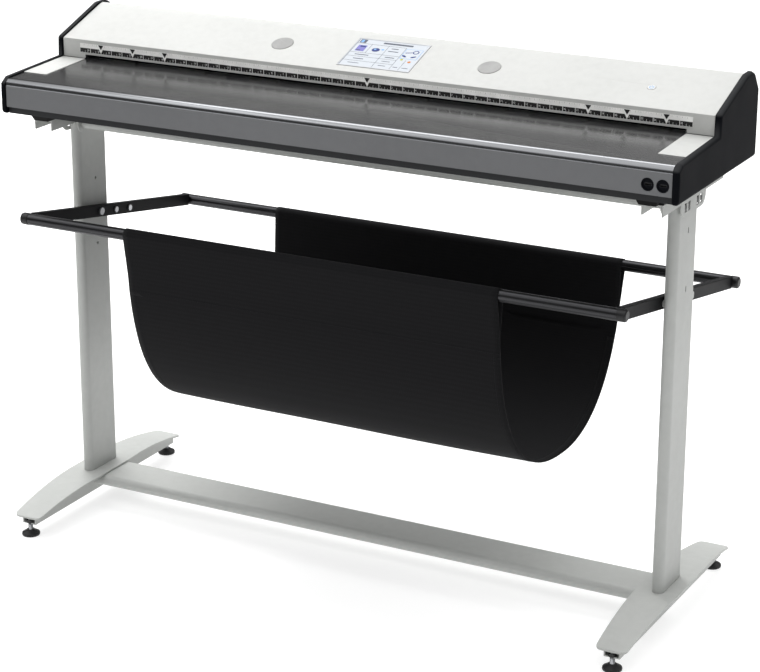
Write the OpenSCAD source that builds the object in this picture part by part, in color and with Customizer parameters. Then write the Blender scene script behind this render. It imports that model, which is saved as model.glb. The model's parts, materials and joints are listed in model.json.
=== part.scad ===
// Sheet-fed wide-format document scanner on a floor stand with a fabric catch basket.
// +X is to the right, +Y to the back and +Z up. The origin is on the floor, under the
// middle of the overall box.

/* [Scanner body] */
// Width of the feed table, between the side covers
bed_w = 1404; // [1200:1:1600]
// Thickness of each side cover
cover_t = 12.3; // [8:0.1:20]
// Height of the scanner's underside above the floor
base_z = 871.5; // [871:0.1:873]
// Height of the paper path above the floor
path_z = 948.5; // [948:0.1:949]
// Widest sheet that the throat takes
throat_w = 1296; // [1260:1:1300]
// Height of the throat above the paper path
throat_h = 9; // [6:0.5:12]

/* [Top cover] */
// Slope of the cover's top face, in degrees
lid_slope = 19; // [17:0.5:20]
// Length of the slope, from the front fold to the ridge
slope_len = 151.8; // [148:0.1:154]
// Diameter of the two release buttons
release_d = 44; // [30:1:46]
// Distance of each release button from the middle
release_x = 225; // [150:1:280]
// Width of the touch screen's frame
screen_w = 156; // [120:1:180]
// Length of the touch screen's frame, up the slope
screen_l = 103; // [80:1:104]

/* [Rollers] */
// Radius of the drive rollers
drive_r = 10; // [8:0.5:10]
// Radius of the idler rollers
idler_r = 8; // [6:0.5:9]
// Gap left between a drive roller and its idler
nip_gap = 0.3; // [0.2:0.1:0.6]
// Distance between the front and rear roller lines
roller_pitch = 68; // [64:1:70]

/* [Stand] */
// Distance between the centres of the two uprights
upright_span = 1297; // [1290:1:1300]
// Depth of an upright's oval section, front to back
upright_d = 102; // [90:1:110]
// Thickness of an upright's oval section
upright_t = 24; // [20:1:30]
// Length of each foot, front to back
foot_len = 542; // [500:1:545]
// Distance between the front and rear levelling feet
pad_span = 515.2; // [480:0.2:520]
// Diameter of a levelling foot's pad
pad_d = 37.5; // [30:0.5:45]

/* [Catch basket] */
// Slope of the basket's frame, in degrees, low at the back
basket_tilt = 10; // [6:0.5:12]
// Distance from the pivot bolt to the front rail
front_reach = 238; // [220:1:260]
// Distance from the pivot bolt to the rear rail
rear_reach = 353; // [330:1:370]
// Height of the pivot bolt above the floor
pivot_z = 633.6; // [620:0.1:650]
// Diameter of the two rails
rail_d = 23; // [20:0.5:24]
// Width of the sling
sling_w = 800; // [600:1:900]
// Height of the sling's lowest point above the floor
sling_low_z = 264; // [255:1:300]

/* [Hidden] */

// Colours
white = [0.94, 0.94, 0.93];
cover_black = [0.14, 0.14, 0.16];
table_grey = [0.42, 0.43, 0.44];
panel_grey = [0.44, 0.45, 0.46];
stand_grey = [0.78, 0.79, 0.77];
steel = [0.70, 0.71, 0.73];
rubber_black = [0.08, 0.08, 0.08];
bright = [0.85, 0.86, 0.87];

// The basket's frame lies in a line through the pivot bolt. All the y values below
// are counted from the middle between the levelling feet, and place() then moves the
// whole object so that its box is centred on the origin.
pivot_y = -4.6;
arm_t = 14;
arm_h = 24;
cap_len = 10;
cap_h = arm_h + 1.2;
arm_past = 4;
pad_front_y = -pad_span / 2 - pad_d / 2;
arm_rear_y = pivot_y + (rear_reach + arm_past + cap_len) * cos(basket_tilt)
    + cap_h / 2 * sin(basket_tilt);
mid_y = -(pad_front_y + arm_rear_y) / 2;

// Scanner body
bed_half = bed_w / 2;
body_front = -198;
body_rear = 196;
skin = 2;
cover_half = bed_half - 0.8;
table_t = 3;
table_front_y = -184;
table_front_z = path_z - 7.5;
panel_low_z = 885.4;
panel_top_z = 927.2;
panel_inner_x = throat_w / 2 + 0.5;

// Rollers
front_nip_y = 38;
rear_nip_y = front_nip_y + roller_pitch;
drive_z = path_z + 0.4 - drive_r;
idler_z = drive_z + drive_r + nip_gap + idler_r;
shaft_r = 5;
idler_shaft_r = 3;
run_gap = 0.05;
tyre_count = 8;
tyre_pitch = 165;
tyre_len = 60;
end_plate_x = 680;
end_plate_t = 3;
bush_r = 7;
pulley_r = 11;
motor_pulley_r = 7;
motor_y = (front_nip_y + rear_nip_y) / 2;
motor_z = 898;
belt_x = -694;

// Top cover
lip_y = 2;
lip_z = path_z + throat_h;
lip_end_z = path_z + 1.7;
fold_z = 987.8;
ridge_y = lip_y + slope_len * cos(lid_slope);
ridge_z = fold_z + slope_len * sin(lid_slope);
lid_rear_y = 193.5;
lid_rear_top = 996;
lid_rear_low = 974;
hinge_y = 184;
hinge_z = 986;
hinge_x = 671;
frame_depth = 17;

// Stand
upright_x = upright_span / 2;
foot_x = 648;
plate_z = 67;
plate_t = 4;
foot_beam_w = 32;
foot_beam_z = 25;
arm_out = upright_x - upright_t / 2 - 2.6;
arm_in = arm_out - arm_t;
web_z = 856;
stud_r = 5;
pivot_r = 4;

// Moves the whole object so that its overall box is centred on the origin.
module place() {
    translate([0, mid_y, 0]) children();
}

// A box from its three ranges.
module block(x, y, z) {
    translate([x[0], y[0], z[0]]) cube([x[1] - x[0], y[1] - y[0], z[1] - z[0]]);
}

// An outline in (y, z) drawn out along X, centred on the plane x = at.
module along_x(length, at = 0) {
    translate([at, 0, 0]) rotate([90, 0, 90]) linear_extrude(length, center = true)
        children();
}

// A round bar along X, from x[0] to x[1].
module bar_x(x, y, z, r) {
    translate([x[0], y, z]) rotate([0, 90, 0]) cylinder(h = x[1] - x[0], r = r, $fn = 48);
}

// The same shape on the right and on the left.
module both_sides() {
    children();
    mirror([1, 0, 0]) children();
}

// The top cover's slope: x to the right, y up the slope from the fold, z outwards.
module on_slope(x, s) {
    translate([x, lip_y, fold_z]) rotate([lid_slope, 0, 0]) translate([0, s, 0])
        children();
}

module rounded(r) {
    offset(r = r, $fn = 40) offset(delta = -r) children();
}

// ---- Scanner base ----

module side_outline() {
    rounded(8) polygon([
        [body_front - 2.5, base_z], [body_front - 2.5, 933], [-184, 944.5], [-3, 952],
        [-1, 990.5], [132, 1037.5], [160, 1038.5], [174, 1032], [body_rear + 1, 1000],
        [body_rear + 1, base_z]]);
}

// A moulded shell: a flat face with a rim turned in towards the machine.
module side_cover() {
    wall = 3;
    difference() {
        along_x(cover_t, bed_half + cover_t / 2) side_outline();
        along_x(cover_t, bed_half + cover_t / 2 - wall) offset(delta = -wall) side_outline();
    }
}

module side_covers() color(cover_black) place() both_sides() side_cover();

// A folded tray: the floor, the front wall behind the panel and a low rear flange.
module base_pan() color(cover_black) place() {
    front_y = -190;
    rear_y = body_rear - skin;
    half = bed_half - 0.5;
    block([-half, half], [front_y, rear_y], [base_z, base_z + skin]);
    block([-half, half], [front_y, front_y + skin], [base_z, panel_top_z]);
    block([-half, half], [rear_y - skin, rear_y], [base_z, base_z + 12]);
}

usb_x = [655.8, 684.1];
usb_z = 904;
usb_r = 12;

module front_panel() color(panel_grey) place() difference() {
    along_x(bed_w - 1) polygon([
        [body_front, panel_low_z], [-190, panel_low_z], [-190, panel_low_z + skin],
        [body_front + 2.5, panel_low_z + skin], [body_front + 2.5, panel_top_z],
        [body_front, panel_top_z]]);
    for (x = usb_x)
        translate([x, body_front - 1, usb_z]) rotate([-90, 0, 0])
            cylinder(h = 5, r = usb_r, $fn = 48);
}

// Two round sockets with a slot for a plug.
module usb_sockets() color(rubber_black) place() for (x = usb_x)
    translate([x, body_front, usb_z]) rotate([-90, 0, 0]) difference() {
        translate([0, 0, 0.4]) cylinder(h = 7.5, r = usb_r - 0.1, $fn = 48);
        translate([0, 0, -1]) cylinder(h = 4, r = usb_r - 2, $fn = 48);
        translate([-6.5, -2.5, -1]) cube([13, 5, 10]);
    }

// A rounded aluminium edge between the front panel and the table.
module front_moulding() color(bright) place() along_x(bed_w - 1) {
    r = 14;
    wall = 2.5;
    intersection() {
        translate([table_front_y, panel_top_z]) difference() {
            circle(r = r, $fn = 64);
            circle(r = r - wall, $fn = 64);
        }
        translate([table_front_y - r, panel_top_z]) square([r, r]);
    }
}

module table_outline(y_end) {
    polygon([
        [table_front_y, table_front_z], [lip_y, path_z], [y_end, path_z],
        [y_end, path_z - table_t], [lip_y, path_z - table_t],
        [table_front_y, table_front_z - table_t]]);
}

module feed_table() color(table_grey) place() {
    clear_y = 16;
    tongue_y = 26;
    along_x(bed_w - 1) table_outline(clear_y);
    block([-676, 676], [clear_y - 1, tongue_y], [path_z - table_t, path_z]);
}

module exit_table() color(table_grey) place()
    block([-655, 655], [118, body_rear - skin], [path_z - table_t, path_z]);

// Two white panels that close the table beside the throat.
module table_panels() color(white) place() both_sides() intersection() {
    block([panel_inner_x, bed_half - 0.5], [-135.5, 0.5], [900, 1000]);
    along_x(bed_w) translate([0, 1.2]) polygon([
        [table_front_y, table_front_z - 1.2], [lip_y, path_z - 1.2], [lip_y, path_z],
        [table_front_y, table_front_z]]);
}

// Closes the back below the exit, with an opening for the inlet and two rows of vents.
module rear_cover() color(cover_black) place() difference() {
    through = [body_rear - skin - 1, body_rear + 1];
    block([-bed_half + 0.5, bed_half - 0.5], [body_rear - skin, body_rear],
        [base_z, path_z]);
    block([inlet_x - inlet_w / 2, inlet_x + inlet_w / 2], through,
        [inlet_z - inlet_h / 2, inlet_z + inlet_h / 2]);
    for (from = [-120, 350], i = [0 : 11])
        block([from + i * vent_pitch, from + i * vent_pitch + 5], through, [886, 916]);
}

// Upright plates inside each end that carry the rollers' bushes.
module end_plates() color(steel) place() both_sides() difference() {
    block([end_plate_x, end_plate_x + end_plate_t], [20, 124], [base_z + 2, 945]);
    for (y = [front_nip_y, rear_nip_y])
        bar_x([end_plate_x - 1, end_plate_x + end_plate_t + 1], y, drive_z, bush_r);
    bar_x([end_plate_x - 1, end_plate_x + end_plate_t + 1], motor_y, motor_z, 11);
}

module roller_bushes() color("goldenrod") place() both_sides()
    for (y = [front_nip_y, rear_nip_y]) difference() {
        union() {
            bar_x([end_plate_x, end_plate_x + end_plate_t + 1], y, drive_z, bush_r);
            bar_x([end_plate_x - 2, end_plate_x], y, drive_z, bush_r + 2);
        }
        bar_x([end_plate_x - 3, end_plate_x + end_plate_t + 2], y, drive_z,
            shaft_r + run_gap);
    }

scan_half_d = 21;
scan_glass_t = 4;
scan_glass_top = path_z - 0.2;

module scan_glass() color([0.7, 0.85, 0.85, 0.5]) place()
    block([-645, 645], [motor_y - scan_half_d, motor_y + scan_half_d],
        [scan_glass_top - scan_glass_t, scan_glass_top]);

// Sealed sensor housing under the glass.
module scan_housing() color(cover_black) place() difference() {
    top = scan_glass_top - scan_glass_t;
    block([-648, 648], [motor_y - scan_half_d, motor_y + scan_half_d], [903, top]);
    block([-645, 645], [motor_y - scan_half_d + 3, motor_y + scan_half_d - 3],
        [907, top + 1]);
}

module light_bars() color("ivory") place() for (y = [motor_y - 12, motor_y + 12])
    block([-640, 640], [y - 4, y + 4], [907, 936]);

module circuit_boards() color("darkgreen") place() {
    block([-640, 640], [motor_y - 5, motor_y + 5], [907, 909]);
    block([-160, 140], [-150, -30], [880, 882]);
    for (x = [-150, 130], y = [-140, -40])
        translate([x, y, base_z + 2]) cylinder(h = 880 - base_z - 2, r = 4, $fn = 24);
}

module power_supply() color(steel) place()
    block([340, 540], [130, 185], [base_z + 2, base_z + 47]);

inlet_x = 590;
inlet_z = 905;
inlet_w = 24;
inlet_h = 17;
vent_pitch = 15;

// Inlet for a mains lead: a recess with three flat pins.
module power_inlet() color(rubber_black) place() translate([inlet_x, body_rear - skin, inlet_z]) {
    deep = 16;
    difference() {
        block([-25, 25], [-deep - 4, 0], [-12, 12]);
        block([-inlet_w / 2, inlet_w / 2], [-deep, 1], [-inlet_h / 2, inlet_h / 2]);
    }
    for (pin = [[-7, -2], [0, 3], [7, -2]])
        block([pin[0] - 1, pin[0] + 1], [-deep - 0.5, -2], [pin[1] - 2, pin[1] + 2]);
}

motor_shaft_r = 2.5;
rotor_r = 14;
rotor_x = [-674, -658];

module drive_motor() color([0.2, 0.2, 0.22]) place() difference() {
    block([-end_plate_x, -652], [motor_y - 18, motor_y + 18], [motor_z - 18, motor_z + 18]);
    bar_x([rotor_x[0] - 1, rotor_x[1] + 1], motor_y, motor_z, rotor_r + 0.5);
    bar_x([-end_plate_x - 1, rotor_x[0]], motor_y, motor_z, motor_shaft_r + run_gap);
}

// The motor's shaft, with the rotor inside the motor and the pulley outside.
module motor_shaft() color(steel) place() {
    bar_x([-bed_half + 3, rotor_x[0]], motor_y, motor_z, motor_shaft_r);
    bar_x(rotor_x, motor_y, motor_z, rotor_r);
    difference() {
        bar_x([belt_x - 5, belt_x + 5], motor_y, motor_z, motor_pulley_r);
        bar_x([belt_x - 6, belt_x + 6], motor_y, motor_z, motor_shaft_r);
    }
}

// A toothed belt round the motor's pulley and both rollers' pulleys.
module drive_belt() color(rubber_black) place() along_x(7, belt_x) {
    clear = 0.3;
    belt_t = 1.4;
    difference() {
        belt_loop(clear + belt_t);
        belt_loop(clear);
    }
}

module belt_loop(extra) hull() {
    for (y = [front_nip_y, rear_nip_y])
        translate([y, drive_z]) circle(r = pulley_r + extra, $fn = 48);
    translate([motor_y, motor_z]) circle(r = motor_pulley_r + extra, $fn = 48);
}

// A drive shaft, with its pulley at the left-hand end.
module drive_shaft(y) {
    bar_x([belt_x - 5, end_plate_x + 6], y, drive_z, shaft_r);
    difference() {
        bar_x([belt_x - 5, belt_x + 5], y, drive_z, pulley_r);
        bar_x([belt_x - 6, belt_x + 6], y, drive_z, shaft_r);
    }
}

// Rubber tyres spaced along a shaft.
module tyres(y, z, outer, inner) {
    for (i = [0 : tyre_count - 1]) {
        x = (i - (tyre_count - 1) / 2) * tyre_pitch;
        difference() {
            bar_x([x - tyre_len / 2, x + tyre_len / 2], y, z, outer);
            bar_x([x - tyre_len, x + tyre_len], y, z, inner);
        }
    }
}

module front_drive_shaft() color(steel) place() drive_shaft(front_nip_y);

module rear_drive_shaft() color(steel) place() drive_shaft(rear_nip_y);

module front_drive_tyres() color(rubber_black) place()
    tyres(front_nip_y, drive_z, drive_r, shaft_r);

module rear_drive_tyres() color(rubber_black) place()
    tyres(rear_nip_y, drive_z, drive_r, shaft_r);

// Forked posts at the back, with the pins that the cover turns on.
module hinge_posts() color(steel) place() both_sides() {
    for (x = [hinge_x - 8, hinge_x + 4]) {
        block([x, x + 4], [hinge_y - 5, hinge_y + 5], [base_z + 2, hinge_z]);
        bar_x([x, x + 4], hinge_y, hinge_z, 5);
    }
    block([hinge_x - 4, hinge_x + 4], [hinge_y - 5, hinge_y + 5], [base_z + 2, 930]);
    bar_x([hinge_x - 4, hinge_x + 4], hinge_y, hinge_z, 3);
}

// ---- Top cover ----

module cover_outline() {
    polygon([
        [lip_y, lip_z], [lip_y, fold_z], [ridge_y - 16, ridge_z - 16 * tan(lid_slope)],
        [ridge_y - 7, ridge_z - 2.9], [ridge_y, ridge_z - 1.4], [ridge_y + 7, ridge_z - 3],
        [lid_rear_y, lid_rear_top], [lid_rear_y, lid_rear_low]]);
}

// The space inside the cover, open towards the paper path.
module cover_inside() {
    offset(delta = -skin) cover_outline();
    polygon([
        [lip_y + skin, path_z - 20], [lip_y + skin, lip_z + 10],
        [lid_rear_y - skin, lid_rear_low + 10], [lid_rear_y - skin, path_z - 20]]);
}

module top_cover() color(white) place() {
    difference() {
        along_x(2 * cover_half) cover_outline();
        along_x(2 * (cover_half - skin)) cover_inside();
        on_slope(0, screen_l / 2 + 20)
            cube([screen_w + 0.4, screen_l + 0.4, 20], center = true);
        for (x = [-release_x, release_x])
            on_slope(x, 71) translate([0, 0, -8])
                cylinder(h = 16, r = release_d / 2 + 0.4, $fn = 64);
        on_slope(power_x, 68) translate([0, 0, -8])
            cylinder(h = 16, r = power_r + 0.3, $fn = 48);
        both_sides() block([hinge_x - 11, hinge_x + 11], [hinge_y, 200], [970, 992]);
    }
    both_sides()
        block([panel_inner_x, cover_half], [lip_y, lip_y + skin], [lip_end_z, lip_z + 1]);
}

ruler_half = 660;
ruler_z = [962, 980.5];

module ruler_strip() color(white) place()
    block([-ruler_half, ruler_half], [lip_y - 0.8, lip_y], ruler_z);

// Pointers at the middle and at the edges of the common sheet widths.
sheet_widths = [914.4, 1066.8, 1219.2];
arrow_x = concat([0], [for (w = sheet_widths, s = [-1, 1]) s * w / 2]);

module size_arrows() color(rubber_black) place() for (x = arrow_x) arrow(x);

module arrow(x) {
    translate([x, lip_y - 0.8, ruler_z[1]]) rotate([90, 0, 0]) linear_extrude(0.4)
        polygon([[0, -10], [6, -0.5], [-6, -0.5]]);
}

module screen_frame() color([0.75, 0.76, 0.78]) place() on_slope(0, screen_l / 2 + 20)
    difference() {
        translate([0, 0, -2.7]) cube([screen_w, screen_l, 7], center = true);
        translate([0, 0, -2.7]) cube([screen_w - 5, screen_l - 5, 8], center = true);
    }

module touch_screen() color([0.6, 0.75, 0.9]) place() on_slope(0, screen_l / 2 + 20)
    translate([0, 0, -2.7]) cube([screen_w - 5, screen_l - 5, 6], center = true);

// Cups under the cover that guide the release buttons' stems.
module button_cups() color(steel) place() for (x = [-release_x, release_x])
    on_slope(x, 71) difference() {
        translate([0, 0, -22]) cylinder(h = 20 - 0.1, r = release_d / 2 + 5, $fn = 64);
        translate([0, 0, -18]) cylinder(h = 20, r = release_d / 2 + 0.4, $fn = 64);
        translate([0, 0, -23]) cylinder(h = 10, r = stem_r + run_gap, $fn = 48);
    }

stem_r = 5;

module release_button(x) on_slope(x, 71) {
    translate([0, 0, -2]) cylinder(h = 2.6, r = release_d / 2, $fn = 64);
    translate([0, 0, -26]) cylinder(h = 24, r = stem_r, $fn = 48);
}

module release_button_left() color("silver") place() release_button(-release_x);

module release_button_right() color("silver") place() release_button(release_x);

power_x = 553.6;
power_r = 8;

module power_button() color(white) place() on_slope(power_x, 68) translate([0, 0, -5])
    cylinder(h = 5.4, r = power_r, $fn = 48);

// Channel across the inside of the cover that the roller hangers are welded to.
module pressure_frame() color(steel) place() difference() {
    half = cover_half - skin;
    on_slope(0, 75) translate([-half, -50, -frame_depth]) cube([2 * half, 100, 1.5]);
    for (x = [-release_x, release_x])
        on_slope(x, 71) translate([0, 0, -30]) cylinder(h = 30, r = release_d / 2 + 6, $fn = 48);
}

module roller_hangers() color(steel) place() for (x = [-660, -330, 0, 330, 660])
    difference() {
        along_x(3, x) hanger_outline();
        for (y = [front_nip_y, rear_nip_y])
            bar_x([x - 3, x + 3], y, idler_z, idler_shaft_r + run_gap);
    }

module hanger_outline() {
    front = front_nip_y - 8;
    rear = rear_nip_y + 8;
    under = fold_z - (frame_depth + 0.01) / cos(lid_slope);
    polygon([
        [front, path_z + 4.5], [rear, path_z + 4.5],
        [rear, under + (rear - lip_y) * tan(lid_slope)],
        [front, under + (front - lip_y) * tan(lid_slope)]]);
}

module background_plate() color(white) place()
    block([-645, 645], [front_nip_y + 12, rear_nip_y - 12], [path_z + 2.5, path_z + 4.5]);

// Height of the underside of the cover's rear slope.
function rear_under(y) = lid_rear_top - skin * 1.4
    + (lid_rear_y - y) * (ridge_z - 3 - lid_rear_top) / (lid_rear_y - ridge_y - 7);

module lid_knuckles() color(steel) place() both_sides() difference() {
    union() {
        bar_x([hinge_x - 3.5, hinge_x + 3.5], hinge_y, hinge_z, 5.5);
        along_x(7, hinge_x) polygon([
            [hinge_y - 5.5, hinge_z], [hinge_y + 4.4, hinge_z + 3.4],
            [hinge_y - 6, rear_under(hinge_y - 6)], [hinge_y - 22, rear_under(hinge_y - 22)],
            [hinge_y - 22, hinge_z + 20]]);
    }
    bar_x([hinge_x - 5, hinge_x + 5], hinge_y, hinge_z, 3 + run_gap);
}

module idler_shaft(y) bar_x([-668, 668], y, idler_z, idler_shaft_r);

module front_idler_shaft() color(steel) place() idler_shaft(front_nip_y);

module rear_idler_shaft() color(steel) place() idler_shaft(rear_nip_y);

module front_idler_tyres() color("gainsboro") place()
    tyres(front_nip_y, idler_z, idler_r, idler_shaft_r);

module rear_idler_tyres() color("gainsboro") place()
    tyres(rear_nip_y, idler_z, idler_r, idler_shaft_r);

// ---- Stand ----

// Tapered square rubber feet under the scanner, resting on the brackets.
module scanner_feet() color(rubber_black) place() both_sides() for (y = [-149, 149])
    translate([644, y, web_z]) linear_extrude(base_z - web_z, scale = 46 / 34)
        square(34, center = true);

bracket_half_w = 20.5;

// Inverted channel with a deeper lobe where it clasps the upright.
module bracket() {
    t = 2.5;
    inner = bracket_half_w - t;
    half_len = 152;
    low = 834;
    for (s = [-1, 1]) translate([upright_x + s * (inner + t / 2), 0, 0]) difference() {
        union() {
            along_x(t) polygon([
                [-half_len, low], [half_len, low], [half_len, web_z], [-half_len, web_z]]);
            along_x(t) rounded(20) translate([-62, 808]) square([124, 44]);
        }
        for (y = bracket_bolt_y) along_x(2 * t) translate([y, bracket_bolt_z])
            square([slot_w, slot_h], center = true);
    }
    block([upright_x - inner, upright_x + inner], [-half_len, half_len], [web_z - t, web_z]);
}

bracket_bolt_y = [-38.5, -21.3, 21.3, 38.5];
bracket_bolt_z = 824;
slot_w = 10.5;
slot_h = 17;

module brackets() color(stand_grey) place() both_sides() bracket();

// Bolts through the brackets' slots, with their heads outwards, and the nuts that lock
// the levelling feet.
module stand_bolts() color(steel) place() both_sides() {
    for (y = bracket_bolt_y) {
        bar_x([upright_x - bracket_half_w, upright_x + upright_t / 2 + 0.1], y, bracket_bolt_z, 4);
        bar_x([upright_x + upright_t / 2 + 0.1, upright_x + bracket_half_w - 0.5], y,
            bracket_bolt_z, 4.8);
    }
    for (y = [-pad_span / 2, pad_span / 2])
        translate([foot_x, y, foot_beam_z + 2.5]) difference() {
            cylinder(h = 6, r = 8.5, $fn = 6);
            translate([0, 0, -1]) cylinder(h = 8, r = stud_r + run_gap, $fn = 48);
        }
}

// The two uprights: oval tubes.
module oval(w, t) {
    translate([0, -w / 2 + t / 2]) circle(d = t, $fn = 48);
    translate([0, w / 2 - t / 2]) circle(d = t, $fn = 48);
    square([t, w - t], center = true);
}

slot_z = [770.5, 658.5];
small_hole_z = [701, 561];

module uprights() color(stand_grey) place() both_sides() difference() {
    top = web_z - 2.5;
    translate([upright_x, 0, plate_z]) linear_extrude(top - plate_z) difference() {
        oval(upright_d, upright_t);
        oval(upright_d - 4, upright_t - 4);
    }
    for (y = bracket_bolt_y) bar_x([upright_x - 20, upright_x + 20], y, bracket_bolt_z, 4.2);
    for (z = slot_z) block([upright_x + 5, upright_x + 20], [0.5, 4.5], [z - 5.5, z + 5.5]);
    for (z = small_hole_z) bar_x([upright_x - 20, upright_x - 5], 4, z, 3);
    bar_x([upright_x - 20, upright_x - 5], pivot_y, pivot_z, pivot_r + run_gap);
}

upper_beam_z = 828;

module upper_beam() color(stand_grey) place()
    along_x(2 * (upright_x - bracket_half_w)) translate([0, upper_beam_z]) beam_section();

module crossbar() color(stand_grey) place()
    along_x(2 * (foot_x - foot_beam_w / 2)) translate([0, plate_z - plate_t - 12.2])
        beam_section();

module beam_section() {
    rotate(90) difference() {
        oval(upright_d, upright_t);
        oval(upright_d - 4, upright_t - 4);
    }
}

// Height of a foot's top face: flat in the middle, then a large arc down to the tip.
function foot_top(y) = plate_z - max(0, abs(y) - foot_flat) ^ 2 / (2 * foot_arc_r);
foot_flat = 70;
foot_arc_r = 880;
foot_steps = 12;
foot_ys = [for (i = [-foot_steps : foot_steps]) i * foot_len / 2 / foot_steps];

// The band between the foot's top face, lowered by drop, and the level z = low.
module foot_band(drop, low) {
    top = [for (y = foot_ys) [y, foot_top(y) - drop]];
    polygon(concat(top, [[foot_len / 2, low], [-foot_len / 2, low]]));
}

module foot_plan() {
    hull() {
        for (s = [-1, 1], q = [-1, 1])
            translate([s * (31 - 12), q * (foot_len / 2 - 12)]) circle(r = 12, $fn = 32);
        for (s = [-1, 1]) translate([s * 41 - 0.5, -60]) square([1, 120]);
    }
}

module foot_plates() color(stand_grey) place() both_sides() intersection() {
    translate([foot_x, 0, 0]) linear_extrude(plate_z + 1) foot_plan();
    along_x(100, foot_x) difference() {
        foot_band(0, 0);
        foot_band(plate_t, -1);
    }
}

// Open-ended channels under the foot plates.
module foot_beams() color(stand_grey) place() both_sides() difference() {
    along_x(foot_beam_w, foot_x) foot_beam_outline(foot_beam_z);
    along_x(foot_beam_w - 5, foot_x) foot_beam_hollow();
    for (y = [-pad_span / 2, pad_span / 2])
        translate([foot_x, y, foot_beam_z - 1]) cylinder(h = 5, r = stud_r + 0.5, $fn = 48);
    for (y = [-30, 10])
        block([foot_x + foot_beam_w / 2 - 5, foot_x + foot_beam_w / 2 + 1], [y - 5, y + 5],
            [42, 50]);
}

module foot_beam_outline(low) intersection() {
    foot_band(plate_t, low);
    translate([-262, 0]) square([524, 100]);
}

module foot_beam_hollow() {
    top = [for (y = foot_ys) [y, foot_top(y) - plate_t + 1]];
    polygon(concat(top, [
        [foot_len / 2, foot_beam_z + 2.5], [-foot_len / 2, foot_beam_z + 2.5]]));
}

// A levelling foot: a pad on a threaded stud.
module levelling_foot(x, y) translate([x, y, 0]) {
    cylinder(h = 6, r = pad_d / 2, $fn = 48);
    translate([0, 0, 6]) cylinder(h = 6, r1 = pad_d / 2 - 2, r2 = 9, $fn = 48);
    translate([0, 0, 12]) cylinder(h = 24, r = stud_r, $fn = 48);
}

module levelling_foot_fl() color(rubber_black) place() levelling_foot(-foot_x, -pad_span / 2);

module levelling_foot_fr() color(rubber_black) place() levelling_foot(foot_x, -pad_span / 2);

module levelling_foot_rl() color(rubber_black) place() levelling_foot(-foot_x, pad_span / 2);

module levelling_foot_rr() color(rubber_black) place() levelling_foot(foot_x, pad_span / 2);

// ---- Catch basket ----

// Axes at the pivot bolt, with y along the basket's arms.
module at_pivot() {
    translate([0, pivot_y, pivot_z]) rotate([-basket_tilt, 0, 0]) children();
}

module basket_arms() color(rubber_black) place() both_sides() at_pivot() difference() {
    ends = [-front_reach - arm_past, rear_reach + arm_past];
    block([arm_in, arm_out], ends, [-arm_h / 2, arm_h / 2]);
    block([arm_in + 2, arm_out - 2], [ends[0] - 1, ends[1] + 1],
        [-arm_h / 2 + 2, arm_h / 2 - 2]);
    bar_x([arm_in - 1, arm_out + 1], 0, 0, pivot_r + run_gap);
    for (y = arm_bolt_y) bar_x([arm_in - 1, arm_out + 1], y, 0, arm_bolt_r + run_gap);
}

arm_bolt_y = [55, 106];
arm_bolt_r = 3;

// The pivot bolt and two clamping bolts of each arm.
module arm_bolts() color(steel) place() both_sides() at_pivot() {
    bar_x([arm_in - 0.1, upright_x - upright_t / 2 + 5], 0, 0, pivot_r);
    bar_x([arm_in - 4, arm_in - 0.1], 0, 0, 7.5);
    for (y = arm_bolt_y) {
        bar_x([arm_in, arm_out], y, 0, arm_bolt_r);
        bar_x([arm_in - 3, arm_in], y, 0, 6);
    }
}

// Plastic plugs in the arms' open ends.
module arm_caps() color(rubber_black) place() both_sides() at_pivot()
    for (side = [-1, 1]) {
        reach = arm_past + (side < 0 ? front_reach : rear_reach);
        plug_len = 10;
        wall = 2.1;
        translate([0, side * (reach + cap_len / 2), 0])
            block([arm_in, arm_out + 0.6], [-cap_len / 2, cap_len / 2],
                [-cap_h / 2, cap_h / 2]);
        translate([0, side * (reach - plug_len / 2), 0])
            block([arm_in + wall, arm_out - wall], [-plug_len / 2, plug_len / 2],
                [-arm_h / 2 + wall, arm_h / 2 - wall]);
    }

// Grooved tubes between the arms.
module basket_rails() color([0.3, 0.3, 0.32]) place() at_pivot()
    for (y = [-front_reach, rear_reach]) difference() {
        bar_x([-arm_in, arm_in], y, 0, rail_d / 2);
        bar_x([-arm_in - 1, arm_in + 1], y, 0, rail_d / 2 - 2);
    }

// The sling is sleeved round each rail and hangs as a U between them. Its outer face
// is two curves that meet at the lowest point.
sling_t = 3;
sling_steps = 20;
rail_front = [pivot_y - front_reach * cos(basket_tilt), pivot_z + front_reach * sin(basket_tilt)];
rail_rear = [pivot_y + rear_reach * cos(basket_tilt), pivot_z - rear_reach * sin(basket_tilt)];
sleeve_r = rail_d / 2 + 0.2;
sling_low = [77, sling_low_z];

function bezier(a, b, c, d, t) =
    a * (1 - t) ^ 3 + 3 * b * t * (1 - t) ^ 2 + 3 * c * t ^ 2 * (1 - t) + d * t ^ 3;
function curve(a, b, c, d) =
    [for (i = [0 : sling_steps]) bezier(a, b, c, d, i / sling_steps)];

module sling_area() {
    front = rail_front + [-1.5, -sleeve_r];
    rear = rail_rear + [1.5, -sleeve_r];
    polygon(concat(
        curve(front, front + [-3, -208], sling_low - [262, 0], sling_low),
        curve(sling_low, sling_low + [46, 0], rear - [33, 291], rear)));
}

module sling() color([0.1, 0.1, 0.1]) place() along_x(sling_w) difference() {
    union() {
        difference() {
            sling_area();
            for (up = [0, 8]) translate([0, up]) offset(delta = -sling_t) sling_area();
        }
        for (p = [rail_front, rail_rear])
            translate(p) circle(r = sleeve_r + sling_t, $fn = 48);
    }
    for (p = [rail_front, rail_rear]) translate(p) circle(r = sleeve_r, $fn = 48);
}

// Light plates between the uprights and the arms.
module arm_plates() color(stand_grey) place() both_sides() at_pivot() difference() {
    along_x(2, upright_x - upright_t / 2 - 1.02) rounded(5) translate([-40, -8])
        square([160, 14]);
    bar_x([arm_in, upright_x], 0, 0, pivot_r + run_gap);
}

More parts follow.
